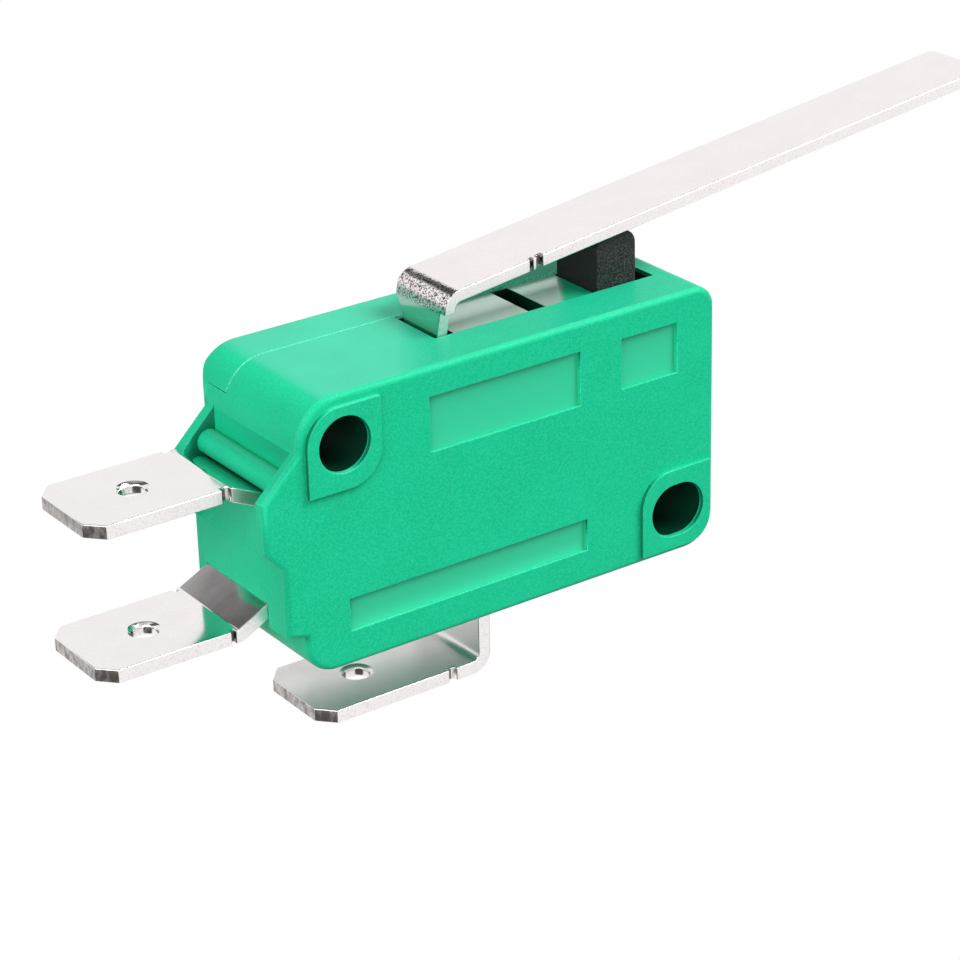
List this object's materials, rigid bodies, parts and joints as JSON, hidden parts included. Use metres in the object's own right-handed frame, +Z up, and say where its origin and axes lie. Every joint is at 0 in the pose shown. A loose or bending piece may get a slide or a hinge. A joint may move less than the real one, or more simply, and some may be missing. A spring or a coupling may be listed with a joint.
{
  "type": "lever micro switch",
  "caption": "Miniature snap-action micro switch with a long hinged metal lever over a black plunger, push-on tab terminals and through mounting holes in a green case.",
  "frame": {"origin": "axis of the round mounting hole, half way through the thickness of the case", "axes": "+X along the case from the terminal end to the free end of the lever, +Y from the front face to the cover, +Z up through the plunger to the lever"},
  "size_m": [0.062, 0.0106, 0.0278],
  "materials": {
    "green_plastic": "fine grain",
    "black_plastic": "fine grain",
    "lever_steel": "satin",
    "terminal_metal": "satin, plated",
    "blade_metal": "satin",
    "contact_metal": "satin",
    "spring_steel": "drawn wire"
  },
  "bodies": {
    "housing": {"case": "green_plastic", "cover": "green_plastic", "common_terminal": "terminal_metal", "upper_terminal": "terminal_metal", "lower_terminal": "terminal_metal", "upper_contact": "contact_metal", "lower_contact": "contact_metal", "return_spring": "spring_steel"},
    "lever_arm": {"lever": "lever_steel"},
    "button": {"plunger": "black_plastic"},
    "see_saw": {"contact_blade": "blade_metal", "moving_contact": "contact_metal"}
  },
  "joints": [
    {"name": "lever_hinge", "type": "hinge", "parent": "housing", "child": "lever_arm", "pos_m": [0.00847, 0, 0.00142], "axis": [0, 1, 0], "range_deg": [0, 7.1], "stiffness_Nm_per_rad": 0.05, "springref_deg": -6.88},
    {"name": "plunger_slide", "type": "slide", "parent": "housing", "child": "button", "axis": [0, 0, -1], "range_m": [0, 0.00147]},
    {"name": "blade_hinge", "type": "hinge", "parent": "housing", "child": "see_saw", "pos_m": [0.01005, 0, -0.00655], "axis": [0, 1, 0], "range_deg": [0, 8], "deforming": ["return_spring"]}
  ],
  "couplings": [
    {"joint": "plunger_slide", "follows": "lever_hinge", "m_per_rad": 0.01176},
    {"joint": "blade_hinge", "follows": "lever_hinge", "ratio": 1.1235}
  ]
}
